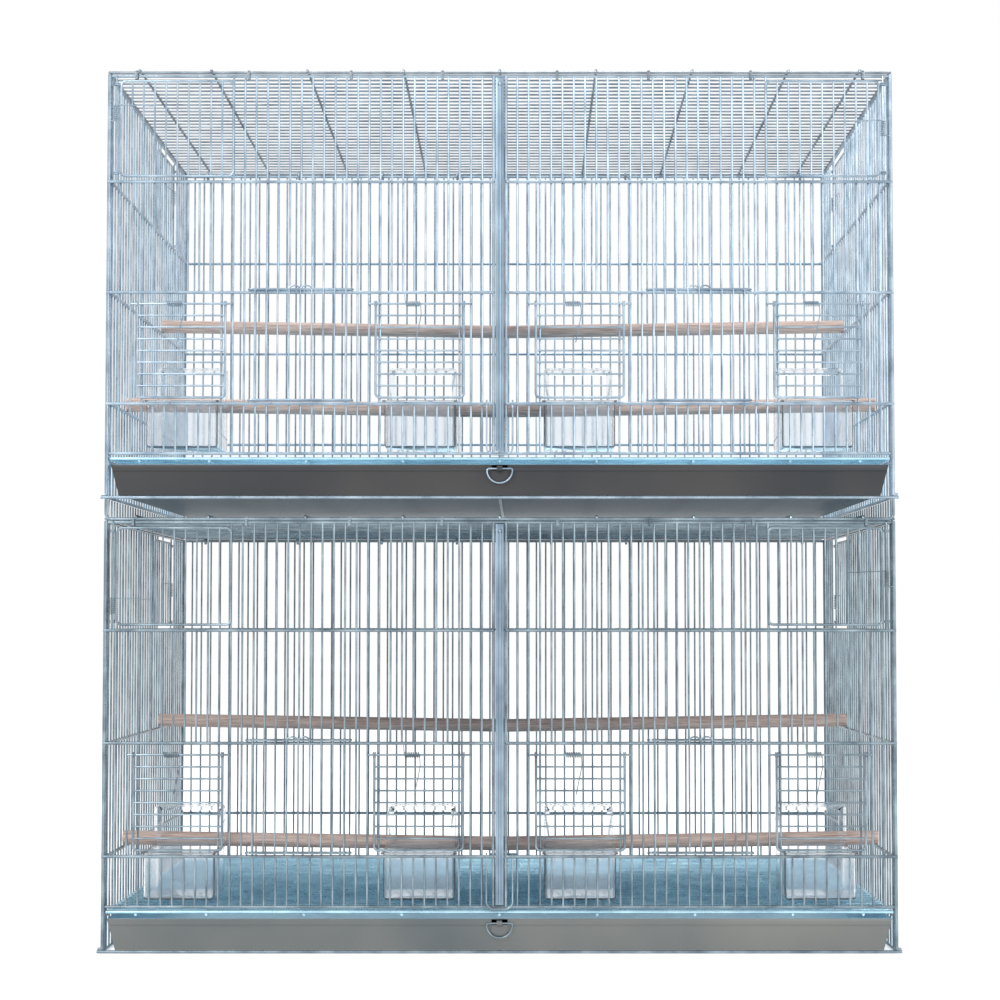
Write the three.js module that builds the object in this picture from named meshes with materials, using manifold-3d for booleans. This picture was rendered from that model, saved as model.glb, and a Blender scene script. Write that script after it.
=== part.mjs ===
// A stack of two galvanised wire breeding cages for small birds.
// Millimetres, +Z up, the front faces -Y, the origin is under the middle of the stack.
import * as THREE from "three";
import { mergeVertices } from "three/addons/utils/BufferGeometryUtils.js";
import Module from "manifold-3d";

const wasm = await Module();
wasm.setup();

// ---------------------------------------------------------------- driving dimensions
const cageWidth = 762; // over the corner posts
const cageDepth = 457; // over the front and back rails
const cageCount = 2;

const railWire = 3; // frame wires
const postWire = 3.6; // upright wires at the corners and beside the middle slot
const doorWire = 2.4; // frames of the doors
const hingeWire = 1.8; // hinge wires, latches and rings
const barWire = 2.8; // across the corners of the three-sided bars
const doorBarWire = 2; // the same, in the doors
const barSides = 3;
const clearance = 0.3; // between pieces that rest or slide on each other
const turning = 0.35; // all round a wire that an eye turns on
const eyeWall = 1.2;
const eyeLength = 3; // along the wire
const nestStub = 2.4; // short wires that hold the hinge wires off the panels
const feederStub = 1.6;

const frontPitch = 11; // bars of the front and the back
const sidePitch = 13.6; // bars of the sides, the top and the floor
const barSkip = 2; // every second bar of the front and the doors is modelled, and every third of
const wallSkip = 3; // the back, the top and the floor, to keep it light
const crossPitch = 93.5; // heavy wires from front to back in the top and the floor
const crossMargin = 24; // none of them nearer than this to the side

const bottomRailLevel = 44; // front panel, over the tray opening
const feederLevel = 92;
const middleLevel = 200;
const upperLevel = 308;
const topRailLevel = 412;
const rimHeight = 19; // wires of the top turned up to carry the next cage

const slotHalfWidth = 6; // to the middle of the posts beside the divider
const dividerSheet = 0.8;
const dividerFold = 8; // folded front edge, across
const dividerInset = 1; // behind the faces of the front rails and of the back bars
const ledgeHalf = 16.5; // short wire that the divider's back end rests on
const grilleDrop = 2; // between the front's bottom rail and the grille's front rail
const grilleSide = 1.3; // between the grille and the side panels

const trayFloor = 3.3; // underside of the tray
const trayLip = 33;
const trayGap = 4.5; // between the tray's rim and the bars of the sides
const trayTaper = 8; // each end slopes in by this much
const traySheet = 1;
const trayHem = 6;
const trayProud = 2; // in front of the front's bars

const feederDoorWidth = 85;
const feederDoorBottom = 98;
const feederHingeDrop = 11.1; // hinge wire under the middle rail
const feederProud = 0.8; // door frame in front of the rails' faces
const feederSpaces = 7; // bar spaces across a feeder opening
const entrySpaces = 8;
const nestSpaces = 11; // from a front nest-box door's free edge to the corner
const feederInset = 3; // bar spaces from the slot or from the corner to a feeder opening
const hingeReach = 1; // bar spaces that the hinge wire runs past both sides of the opening
const entryOverhang = 6.6; // door frame past the guide bars
const nestHingeInset = 7.2; // hinge wire from the upright beside it
const nestDoorGap = 5.5; // door above and below its rails
const sideNestBars = [20, 28];
const sidePostIn = 0.8; // uprights of the sides, in from their bars

const springRadius = 2.4;
const springWire = 0.8;
const springLength = 16;
const springStart = -14; // from the middle of the door
const springTurns = 4;
const springSteps = 5; // along each turn
const springSides = 3;
const springLeg = 0.1; // share of the spring that is its straight leg
const springGap = 0.4; // the least gap from one turn to the next

const cupWidth = 69;
const cupDepth = 75;
const cupBottom = 50;
const cupWall = 1.6;
const cupFlange = 1.8;
const cupLug = 2; // lugs at both ends of the flange
const cupLugDepth = 6;
const cupLip = 1; // the flange past the cup's walls
const hoodTop = 135;
const hoodRim = 6;

const perchDiameter = 14;
const perchSides = 8;
const perchDip = 6; // lower at the divider
const upperPerchDepth = 290; // behind the front
const lowerPerchDepth = 93;

const ringRadius = 13.2;
const ringLevel = 29;
const tabWidth = 16;
const tabBottom = 16;
const latchHalfWidth = 12.5;
const latchPlay = 0.2; // over the grille's front rail
const clipWidth = 3;
const clipHeight = 8;
const clipSheet = 0.9;
const clipShares = [0.146, 0.38, 0.64, 0.926]; // from the middle to the side
const loopWidth = 23; // finger loop of an entry door
const loopHeight = 5;
const grid = 0.01; // corners are rounded to it, so that faces meant to be flush are
const through = 1; // how far a cutting block passes the face that it opens

// ---------------------------------------------------------------- places worked out from them
const halfDepth = cageDepth / 2;
const barFlat = barWire / 4; // the flat of a three-sided bar, out from its middle
const railOffset = barFlat + clearance + railWire / 2; // rails pass the bars with a small gap
const frontPlane = halfDepth - railOffset - railWire / 2; // middle of the bars
const sidePlane = cageWidth / 2 - railWire / 2;
const cornerPost = cageWidth / 2 - postWire / 2;
const baseLevel = railWire / 2;
const topPanelLevel = topRailLevel + railWire + clearance;
const halfBars = Math.round((cornerPost - slotHalfWidth) / frontPitch);
const frontStep = (cornerPost - slotHalfWidth) / halfBars;
const entryMiddle = Math.round(halfBars / 2);
const innerFeederBars = [feederInset, feederInset + feederSpaces]; // counted from the slot
const outerFeederBars = [halfBars - feederInset - feederSpaces, halfBars - feederInset];
const entryBars = [entryMiddle - entrySpaces / 2, entryMiddle + entrySpaces / 2];
const nestBar = halfBars - nestSpaces; // the bar that a front nest-box door shuts on
const trayHalfWidth = sidePlane - trayGap;
const clipPlaces = clipShares.map((share) => (share * cageWidth) / 2);
const sideEnd = frontPlane - (railWire + postWire) / 2 - clearance;
const sideSpaces = Math.round((2 * sideEnd) / sidePitch);
const grilleLevel = bottomRailLevel - railWire - grilleDrop;
const guideLevel = grilleLevel - railWire - clearance;
const feederHinge = middleLevel - feederHingeDrop;
const eyeHole = hingeWire * Math.SQRT2 + 2 * turning;
const eyeSize = eyeHole + 2 * eyeWall;
const feederPlane = railOffset + (doorWire - railWire) / 2 + feederProud;
const entryPlane = railOffset + railWire / 2 + clearance + doorWire / 2;
const nestPlane = barWire / 2 + clearance + doorWire / 2;
const stileOffset = eyeSize / 2 + turning + doorWire / 2;
const topEnd = frontPlane + 2 * clearance; // the clips hang from these rails past the front's
const stackPitch = topPanelLevel + rimHeight + clearance;

// ---------------------------------------------------------------- materials
const finish = (color, roughness, metalness) =>
  new THREE.MeshStandardMaterial({ color, roughness, metalness });
const galvanised = finish(0xb9cbd8, 0.35, 0.9);
const trayMetal = finish(0x8b9296, 0.45, 0.8);
const clearPlastic = finish(0xdfe6f4, 0.15, 0);
const perchWood = finish(0xc8a692, 0.75, 0);

// ---------------------------------------------------------------- solids
const snapped = (p) => Math.round(p / grid) * grid;
const onGrid = (v) => new THREE.Vector3(snapped(v.x), snapped(v.y), snapped(v.z));

function solidOf(geometry) {
  geometry.deleteAttribute("normal");
  geometry.deleteAttribute("uv");
  const merged = mergeVertices(geometry, 1e-4);
  const places = Float32Array.from(merged.attributes.position.array, snapped);
  const triVerts = new Uint32Array(merged.index.array);
  return new wasm.Manifold(new wasm.Mesh({ numProp: 3, vertProperties: places, triVerts }));
}

const join = (solids) => wasm.Manifold.union(solids).asOriginal().simplify(grid / 2);

function meshOf(name, solid, material) {
  const made = solid.getMesh();
  const geometry = new THREE.BufferGeometry();
  geometry.setAttribute("position", new THREE.BufferAttribute(made.vertProperties, 3));
  geometry.setIndex(new THREE.BufferAttribute(made.triVerts, 1));
  geometry.computeVertexNormals();
  const mesh = new THREE.Mesh(geometry, material);
  mesh.name = name;
  return mesh;
}

// A straight wire between two points, with one of its flats towards face where it can.
function wire(from, to, width, face, sides = 4) {
  const start = onGrid(from);
  const along = onGrid(to).sub(start);
  const middle = start.addScaledVector(along, 0.5);
  const length = along.length();
  const radius = sides === 4 ? width / Math.SQRT2 : width / 2;
  const geometry = new THREE.CylinderGeometry(radius, radius, length, sides, 1, false, Math.PI / sides);
  const y = along.normalize();
  const headOn = Math.abs(y.dot(face)) > Math.SQRT1_2;
  const x = y.clone().cross(headOn ? new THREE.Vector3(face.z, face.x, face.y) : face).normalize();
  const basis = new THREE.Matrix4().makeBasis(x, y, x.clone().cross(y));
  geometry.applyMatrix4(basis.setPosition(middle));
  return solidOf(geometry);
}

function box(from, to) {
  const low = onGrid(from);
  const size = onGrid(to).sub(low);
  const geometry = new THREE.BoxGeometry(Math.abs(size.x), Math.abs(size.y), Math.abs(size.z));
  const middle = low.addScaledVector(size, 0.5);
  geometry.translate(middle.x, middle.y, middle.z);
  return solidOf(geometry);
}

// A wall's own directions: across it, up it and out of it.
function wall(across, up, out, plane) {
  const at = (u, v, d = 0) =>
    new THREE.Vector3()
      .addScaledVector(across, u)
      .addScaledVector(up, v)
      .addScaledVector(out, plane + d);
  return {
    at,
    out,
    wire: (from, to, width, sides) => wire(at(...from), at(...to), width, out, sides),
    bar: (from, to, width = barWire, flat = 1) =>
      wire(at(...from), at(...to), width, out.clone().multiplyScalar(flat), barSides),
    box: (low, high) => box(at(...low), at(...high)),
  };
}
const X = new THREE.Vector3(1, 0, 0);
const Y = new THREE.Vector3(0, 1, 0);
const Z = new THREE.Vector3(0, 0, 1);
const back = X.clone().negate();
const frontWall = wall(X, Z, Y.clone().negate(), frontPlane);
const backWall = wall(X, Z, Y, frontPlane);
const sideWalls = { left: wall(Y, Z, back, sidePlane), right: wall(Y, Z, X, sidePlane) };
const topWall = wall(Y, X, Z, topPanelLevel);
const floorWall = wall(Y, X, Z, grilleLevel);

// Bars across a span, cut away where they meet an opening.
function barRuns(u, low, high, openings) {
  let runs = [[low, high]];
  for (const o of openings)
    if (u > o.from + barWire && u < o.to - barWire)
      runs = runs.flatMap(([a, b]) => [
        [a, Math.min(b, o.low)],
        [Math.max(a, o.high), b],
      ]);
  return runs.filter(([a, b]) => b - a > railWire);
}

// A flat panel: two uprights, an edge rail at both ends of the bars, the bars, and rails that pass
// them on one side. The cut bars of an opening end at a short wire along the rail.
function panel(w, p) {
  const parts = [];
  const openings = p.openings ?? [];
  const slot = p.slot ?? 0;
  const flat = Math.sign(p.railOut); // the flats of the bars face the rails
  const postOut = p.postOut ?? 0;
  for (const u of [p.left, p.right]) {
    const foot = [u, p.low - railWire / 2, postOut];
    parts.push(w.wire(foot, [u, p.high + railWire / 2, postOut], p.post));
  }
  for (const v of [p.low, p.high]) parts.push(w.wire([p.left, v], [p.right, v], railWire));
  for (const v of p.rails)
    for (const [a, b] of slot ? [[p.left, -slot], [slot, p.right]] : [[p.left, p.right]])
      parts.push(w.wire([a, v, p.railOut], [b, v, p.railOut], railWire));
  for (const u of p.bars)
    for (const [a, b] of barRuns(u, p.low, p.high, openings))
      parts.push(w.bar([u, a], [u, b], barWire, flat));
  for (const o of openings) {
    const cut = p.bars.filter((u) => u > o.from + barWire && u < o.to - barWire);
    const ends = [Math.min(...cut) - railWire / 2, Math.max(...cut) + railWire / 2];
    for (const v of [o.low, o.high])
      if (v > p.low && v < p.high) parts.push(w.wire([ends[0], v], [ends[1], v], railWire));
  }
  return parts;
}

// A square eye round a wire that runs along axis, with an arm that reaches out to the door's frame.
function eye(centre, axis, armTo, armWidth) {
  const half = (size) => new THREE.Vector3(size / 2, size / 2, size / 2);
  const along = (v, length) => v.addScaledVector(axis, length / 2 - v.dot(axis));
  const outer = along(half(eyeSize), eyeLength);
  const hole = along(half(eyeHole), eyeLength * 2);
  const ring = box(centre.clone().sub(outer), centre.clone().add(outer));
  const reach = armTo.clone().sub(centre).normalize().multiplyScalar(eyeSize / 2 - eyeWall / 2);
  const arm = wire(centre.clone().add(reach), armTo, armWidth, axis);
  return ring.subtract(box(centre.clone().sub(hole), centre.clone().add(hole))).add(arm);
}

// ---------------------------------------------------------------- springs
class Coil extends THREE.Curve {
  constructor(start, axis, side, lead) {
    super();
    this.start = start;
    this.axis = axis;
    this.side = side;
    this.up = axis.clone().cross(side);
    this.lead = lead;
  }
  // The curve starts with the straight leg that runs in from the wire it holds on to.
  getPoint(t) {
    const turn = Math.max(0, (t - springLeg) / (1 - springLeg));
    const angle = 2 * Math.PI * springTurns * turn;
    const p = this.start.clone().addScaledVector(this.axis, springLength * turn);
    p.addScaledVector(this.side, springRadius * Math.cos(angle));
    p.addScaledVector(this.up, springRadius * Math.sin(angle));
    if (t < springLeg) p.addScaledVector(this.lead, 1 - t / springLeg);
    return p;
  }
}

// The least gap between stretches of the spring that are half a turn or more apart.
function leastGap(curve) {
  const count = springTurns * springSteps * 8;
  const points = curve.getSpacedPoints(count);
  const apart = Math.round(count / springTurns / 2);
  let least = Infinity;
  for (let i = 0; i + apart < points.length; i++)
    for (let j = i + apart; j < points.length; j++)
      least = Math.min(least, points[i].distanceTo(points[j]));
  return least - springWire;
}

const springGaps = [];
function spring(start, axis, side, lead) {
  const section = new THREE.Shape();
  for (let k = 0; k < springSides; k++) {
    const angle = (2 * Math.PI * k) / springSides;
    const point = [(springWire / 2) * Math.cos(angle), (springWire / 2) * Math.sin(angle)];
    if (k === 0) section.moveTo(...point);
    else section.lineTo(...point);
  }
  section.closePath();
  const coil = new Coil(start, axis, side, lead);
  springGaps.push(leastGap(coil));
  const steps = Math.round((springTurns * springSteps) / (1 - springLeg));
  return solidOf(new THREE.ExtrudeGeometry(section, { steps, extrudePath: coil }));
}

// ---------------------------------------------------------------- places of the doors
const barPlace = (k) => slotHalfWidth + k * frontStep;
const sideBarPlace = (k) => -sideEnd + (k * 2 * sideEnd) / sideSpaces;
const span = ([a, b]) => ({ from: barPlace(a), to: barPlace(b) });
const hingeBars = ([a, b]) => [a - hingeReach, b + hingeReach];
const mirror = (o, side) => (side > 0 ? o : { ...o, from: -o.to, to: -o.from });
const halves = [
  { side: -1, name: "left" },
  { side: 1, name: "right" },
];
const feeders = halves.flatMap(({ side, name }) =>
  [
    ["inner", innerFeederBars],
    ["outer", outerFeederBars],
  ].map(([place, bars]) => {
    const { from, to } = mirror(span(bars), side);
    const hinge = mirror(span(hingeBars(bars)), side);
    return { name: `${name}_${place}`, from, to, hinge, middle: (from + to) / 2 };
  }),
);
const entries = halves.map(({ side, name }) => ({ name, ...mirror(span(entryBars), side) }));
const frontNests = halves.map(({ side, name }) => ({
  name,
  wall: frontWall,
  hinge: side * (cornerPost - nestHingeInset),
  free: side * barPlace(nestBar),
}));
const sideNests = halves.map(({ name }) => ({
  name,
  wall: sideWalls[name],
  hinge: sideBarPlace(sideNestBars[1]) - nestHingeInset,
  free: sideBarPlace(sideNestBars[0]),
}));

// ---------------------------------------------------------------- fixed panels
function nestHinge(n) {
  const w = n.wall;
  const levels = [upperLevel, topRailLevel];
  const [low, high] = levels.map((v) => [n.hinge, v, nestPlane]);
  const stubs = levels.map((v) => w.wire([n.hinge, v, 0], [n.hinge, v, nestPlane + hingeWire / 2], nestStub));
  return [w.wire(low, high, hingeWire), ...stubs];
}

// Evenly spaced places between two ends, about as far apart as asked for.
function spread(from, to, pitch) {
  const spaces = Math.round((to - from) / pitch);
  const places = [];
  for (let k = 1; k < spaces; k++) places.push(from + (k * (to - from)) / spaces);
  return places;
}

// The front's bars counted from the slot: those beside an opening or at the end of a hinge wire,
// and every second one between.
function frontBars() {
  const hinges = [...hingeBars(innerFeederBars), ...hingeBars(outerFeederBars)];
  const beside = [...innerFeederBars, ...outerFeederBars, ...hinges, ...entryBars, nestBar];
  const shown = [];
  let last = 0;
  for (let k = 1; k < halfBars; k++) {
    const spaced = k - last >= barSkip && k + 1 < halfBars && !beside.includes(k + 1);
    if (beside.includes(k) || spaced) {
      shown.push(k);
      last = k;
    }
  }
  return shown.flatMap((k) => [-barPlace(k), barPlace(k)]);
}

function frontPanel() {
  const w = frontWall;
  const openings = [
    ...feeders.map((f) => ({ ...f, low: feederLevel, high: middleLevel })),
    ...entries.map((e) => ({ ...e, low: feederLevel, high: middleLevel })),
    ...halves.map(({ side }) => ({
      ...mirror({ from: barPlace(nestBar), to: cornerPost + barWire }, side),
      low: upperLevel,
      high: topRailLevel,
    })),
  ];
  const postOut = railOffset / 2;
  const parts = panel(w, {
    left: -cornerPost,
    right: cornerPost,
    low: bottomRailLevel,
    high: topRailLevel,
    post: postWire,
    postOut,
    rails: [feederLevel, middleLevel, upperLevel],
    railOut: railOffset,
    slot: slotHalfWidth,
    bars: frontBars(),
    openings,
  });
  for (const side of [-1, 1]) {
    const post = side * slotHalfWidth;
    parts.push(w.wire([post, bottomRailLevel, postOut], [post, topRailLevel, postOut], railWire));
    const foot = side * cornerPost;
    parts.push(w.wire([foot, 0, postOut], [foot, bottomRailLevel, postOut], postWire));
  }
  parts.push(w.wire([-cornerPost, baseLevel], [cornerPost, baseLevel], railWire));
  for (const f of feeders) {
    const [from, to] = [f.hinge.from, f.hinge.to];
    parts.push(w.wire([from, feederHinge, feederPlane], [to, feederHinge, feederPlane], hingeWire));
    for (const u of [from, to])
      parts.push(w.wire([u, feederHinge, 0], [u, feederHinge, feederPlane], feederStub));
    const lead = Z.clone().multiplyScalar(feederHingeDrop - springRadius);
    const start = w.at(f.middle + springStart, feederHinge, feederPlane);
    parts.push(spring(start, X, Z, lead));
  }
  for (const n of frontNests) parts.push(...nestHinge(n));
  return join(parts);
}

function backPanel() {
  const w = backWall;
  const parts = panel(w, {
    left: -cornerPost,
    right: cornerPost,
    low: baseLevel,
    high: topRailLevel,
    post: postWire,
    postOut: railOffset / 2,
    rails: [feederLevel, middleLevel, upperLevel],
    railOut: railOffset,
    bars: spread(-cornerPost, cornerPost, frontPitch * wallSkip),
  });
  const ledge = [ledgeHalf, bottomRailLevel, -railWire / 2];
  parts.push(w.wire([-ledgeHalf, bottomRailLevel, -railWire / 2], ledge, railWire));
  return join(parts);
}

// The wire that the tray slides on, between the base rails of the front and the back.
function trayRunner() {
  const end = frontPlane - railWire / 2 - clearance;
  return wire(new THREE.Vector3(0, -end, baseLevel), new THREE.Vector3(0, end, baseLevel), railWire, Z);
}

function sidePanel(name) {
  const bars = [];
  for (let k = 1; k < sideSpaces; k++) bars.push(sideBarPlace(k));
  const [from, to] = sideNestBars.map(sideBarPlace);
  const parts = panel(sideWalls[name], {
    left: -sideEnd,
    right: sideEnd,
    low: baseLevel,
    high: topRailLevel,
    post: postWire,
    postOut: -sidePostIn,
    rails: [guideLevel, feederLevel, middleLevel, upperLevel],
    railOut: -railOffset,
    bars,
    openings: [{ from, to, low: upperLevel, high: topRailLevel }],
  });
  parts.push(...nestHinge(sideNests.find((n) => n.name === name)));
  return join(parts);
}

const crossWires = (reach) => {
  const places = [0];
  for (let x = crossPitch; x < reach - crossMargin; x += crossPitch) places.push(-x, x);
  return places;
};

function topPanel(withRim) {
  const bars = spread(-frontPlane, frontPlane, sidePitch * wallSkip);
  const parts = panel(topWall, {
    left: -topEnd,
    right: topEnd,
    low: -sidePlane,
    high: sidePlane,
    post: railWire,
    rails: crossWires(sidePlane),
    railOut: railOffset,
    bars,
  });
  const clipTop = railWire / 2;
  for (const end of [-1, 1])
    for (const x of clipPlaces.flatMap((c) => [-c, c])) {
      const clipFace = end * (frontPlane + railWire / 2 + clearance);
      const low = [clipFace, x - clipWidth / 2, clipTop - clipHeight];
      parts.push(topWall.box(low, [clipFace + end * clipSheet, x + clipWidth / 2, clipTop]));
    }
  if (withRim)
    for (const x of [-sidePlane, sidePlane]) {
      for (const y of bars)
        parts.push(wire(topWall.at(y, x), topWall.at(y, x, rimHeight), barWire, X, barSides));
      for (const y of [-topEnd, topEnd])
        parts.push(wire(topWall.at(y, x), topWall.at(y, x, rimHeight), railWire, X));
    }
  return join(parts);
}

// ---------------------------------------------------------------- moving pieces
function floorGrille() {
  const half = sidePlane - barWire / 2 - railWire / 2 - grilleSide;
  return join(
    panel(floorWall, {
      left: -frontPlane,
      right: sideEnd,
      low: -half,
      high: half,
      post: railWire,
      rails: crossWires(half),
      railOut: -railOffset,
      bars: spread(-frontPlane, sideEnd, sidePitch * wallSkip),
    }),
  );
}

// A tray's outside or inside: a trapezium drawn across the cage and extruded from front to back.
function trayBlock(shrink, frontY, backY, floor, rim) {
  const half = trayHalfWidth - shrink;
  const shape = new THREE.Shape([
    new THREE.Vector2(-half, rim),
    new THREE.Vector2(-half + trayTaper, floor),
    new THREE.Vector2(half - trayTaper, floor),
    new THREE.Vector2(half, rim),
  ]);
  const geometry = new THREE.ExtrudeGeometry(shape, { depth: backY - frontY, bevelEnabled: false });
  geometry.rotateX(Math.PI / 2);
  geometry.translate(0, backY, 0);
  return solidOf(geometry);
}

const trayFront = -frontPlane - trayProud;
const ringPlane = trayFront - eyeSize / 2;

function tray() {
  const outside = trayBlock(0, trayFront, sideEnd, trayFloor, trayLip);
  const insideFront = trayFront + traySheet;
  const insideFloor = trayFloor + traySheet;
  const inside = trayBlock(traySheet, insideFront, sideEnd - traySheet, insideFloor, trayLip + through);
  const v = (x, y, z) => new THREE.Vector3(x, y, z);
  const plate = (half, low) =>
    box(v(-half, trayFront - traySheet, low), v(half, trayFront + traySheet / 2, trayLip));
  const hem = plate(trayHalfWidth - 2 * traySheet, trayLip - trayHem);
  const tab = plate(tabWidth / 2, tabBottom);
  const strap = eye(v(0, ringPlane, ringLevel), X, v(0, trayFront + traySheet / 2, ringLevel), hingeWire);
  return join([outside.subtract(inside), hem, tab, strap]);
}

function pullRing() {
  const arcSteps = 8;
  const outline = new THREE.Shape();
  outline.absarc(0, 0, ringRadius, Math.PI, 2 * Math.PI, false);
  outline.lineTo(ringRadius, hingeWire);
  outline.lineTo(-ringRadius, hingeWire);
  const hole = new THREE.Path();
  hole.absarc(0, 0, ringRadius - hingeWire, Math.PI, 2 * Math.PI, false);
  outline.holes.push(hole);
  const geometry = new THREE.ExtrudeGeometry(outline, {
    depth: hingeWire,
    bevelEnabled: false,
    curveSegments: arcSteps,
  });
  geometry.rotateX(Math.PI / 2);
  geometry.translate(0, ringPlane + hingeWire / 2, ringLevel - hingeWire / 2);
  return solidOf(geometry);
}

function trayLatch() {
  const hole = railWire * Math.SQRT2 + 2 * turning;
  const outer = hole / 2 + eyeWall;
  const w = frontWall;
  const legOut = railOffset + outer - hingeWire / 2;
  const crossLevel = grilleLevel + railWire / 2 + hingeWire + latchPlay;
  const crossEnd = [latchHalfWidth, crossLevel, legOut];
  const parts = [w.wire([-latchHalfWidth, crossLevel, legOut], crossEnd, hingeWire)];
  for (const u of [-latchHalfWidth, latchHalfWidth]) {
    const ring = w.box(
      [u - eyeWall, feederLevel - outer, railOffset - outer],
      [u + eyeWall, feederLevel + outer, railOffset + outer],
    );
    const cut = w.box(
      [u - eyeWall * 2, feederLevel - hole / 2, railOffset - hole / 2],
      [u + eyeWall * 2, feederLevel + hole / 2, railOffset + hole / 2],
    );
    const legTop = [u, feederLevel - hole / 2, legOut];
    parts.push(ring.subtract(cut));
    parts.push(w.wire([u, crossLevel - hingeWire / 2, legOut], legTop, hingeWire));
  }
  return join(parts);
}

function divider() {
  const low = bottomRailLevel + railWire / 2 + clearance;
  const high = topRailLevel - railWire / 2 - clearance;
  const front = frontPlane + railOffset + railWire / 2 - dividerInset;
  const backEnd = frontPlane - railWire / 2 - dividerInset;
  const v = (x, y, z) => new THREE.Vector3(x, y, z);
  return join([
    box(v(-dividerSheet / 2, -front, low), v(dividerSheet / 2, backEnd, high)),
    box(v(-dividerFold / 2, -front, low), v(dividerFold / 2, -front + dividerSheet, high)),
  ]);
}

function feederDoor(f) {
  const w = frontWall;
  const parts = [];
  const half = feederDoorWidth / 2;
  for (const u of [f.middle - half, f.middle + half]) {
    const foot = w.at(u, feederDoorBottom - doorWire / 2, feederPlane);
    parts.push(eye(w.at(u, feederHinge, feederPlane), X, foot, doorWire));
  }
  const low = [f.middle - half, feederDoorBottom, feederPlane];
  parts.push(w.wire(low, [f.middle + half, feederDoorBottom, feederPlane], doorWire));
  for (const v of spread(feederDoorBottom, feederHinge, frontPitch * barSkip))
    parts.push(w.bar([f.middle - half, v, feederPlane], [f.middle + half, v, feederPlane], doorBarWire));
  return join(parts);
}

function entryDoor(e) {
  const w = frontWall;
  const parts = [];
  const holeHalf = barWire / 2 + turning;
  const outer = holeHalf + eyeWall;
  const bottom = feederLevel + railWire / 2 + clearance + doorWire / 2;
  const top = middleLevel + railWire / 2 + clearance + doorWire / 2;
  const middle = (e.from + e.to) / 2;
  const half = (e.to - e.from) / 2 + entryOverhang;
  for (const v of [bottom, top]) {
    parts.push(w.wire([middle - half, v, entryPlane], [middle + half, v, entryPlane], doorWire));
    for (const u of [e.from, e.to]) {
      const ring = w.box([u - outer, v - doorWire / 2, -outer], [u + outer, v + doorWire / 2, entryPlane]);
      const cutTop = [u + holeHalf, v + doorWire, barFlat + turning];
      parts.push(ring.subtract(w.box([u - holeHalf, v - doorWire, -holeHalf], cutTop)));
    }
  }
  for (const u of [e.from, ...spread(e.from, e.to, frontPitch * barSkip), e.to])
    parts.push(w.bar([u, bottom, entryPlane], [u, top, entryPlane], doorBarWire));
  const loopTop = top + loopHeight;
  for (const u of [middle - loopWidth / 2, middle + loopWidth / 2])
    parts.push(w.wire([u, top, entryPlane], [u, loopTop, entryPlane], hingeWire));
  const loopHalf = loopWidth / 2 + hingeWire / 2;
  const loopEnd = [middle + loopHalf, loopTop, entryPlane];
  parts.push(w.wire([middle - loopHalf, loopTop, entryPlane], loopEnd, hingeWire));
  return join(parts);
}

function nestDoor(n) {
  const w = n.wall;
  const inward = Math.sign(n.free - n.hinge);
  const stile = n.hinge + inward * stileOffset;
  const low = upperLevel + nestDoorGap;
  const high = topRailLevel - nestDoorGap;
  const parts = [];
  for (const u of [stile, n.free]) {
    const top = [u, high + doorWire / 2, nestPlane];
    parts.push(w.wire([u, low - doorWire / 2, nestPlane], top, doorWire));
  }
  for (const v of [low, high])
    parts.push(w.wire([stile, v, nestPlane], [n.free, v, nestPlane], doorWire));
  const axis = w.at(0, 1).sub(w.at(0, 0));
  for (const v of [low + eyeLength, high - eyeLength])
    parts.push(eye(w.at(n.hinge, v, nestPlane), axis, w.at(stile, v, nestPlane), doorWire));
  const [left, right] = [Math.min(n.free, stile), Math.max(n.free, stile)];
  for (const u of spread(left, right, frontPitch * barSkip))
    parts.push(w.bar([u, low, nestPlane], [u, high, nestPlane], doorBarWire));
  return join(parts);
}

// ---------------------------------------------------------------- cups and perches
function feederCup(f) {
  const frontY = -frontPlane + railWire / 2 + clearance;
  const backY = frontY + cupDepth;
  const rim = feederLevel + railWire / 2 + clearance;
  const v = (x, y, z) => new THREE.Vector3(f.middle + x, y, z);
  const half = cupWidth / 2;
  const inner = half - cupWall;
  const lugY = -frontPlane - railWire / 3; // lugs and lip lie over the rail
  const lipTop = rim + cupFlange;
  const lugHalf = half + cupLug;
  const wayHalf = half - hoodRim;
  const body = box(v(-half, frontY, cupBottom), v(half, backY, lipTop));
  const lip = box(v(-half - cupLip, lugY, rim), v(half + cupLip, backY + cupLip, lipTop));
  const lugs = box(v(-lugHalf, lugY, rim), v(lugHalf, lugY + cupLugDepth, lipTop));
  const hollowLow = v(-inner, frontY + cupWall, cupBottom + cupWall);
  const hollow = box(hollowLow, v(inner, backY - cupWall, lipTop + through));
  const hood = box(v(-half, backY - cupWall, rim), v(half, backY, hoodTop));
  const way = box(v(-wayHalf, backY - cupDepth / 2, lipTop), v(wayHalf, backY + through, hoodTop - hoodRim));
  return join([body, lip, lugs]).subtract(hollow).add(hood.subtract(way));
}

function perch(side, depth, rail) {
  const y = -halfDepth + depth;
  const outer = side * (sidePlane - barWire / 2 - clearance * 2);
  const innerEnd = side * (dividerSheet / 2 + clearance);
  const height = rail + railWire / 2 + clearance + perchDiameter / 2;
  const from = new THREE.Vector3(outer, y, height);
  return wire(from, new THREE.Vector3(innerEnd, y, height - perchDip), perchDiameter, Z, perchSides);
}

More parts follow.
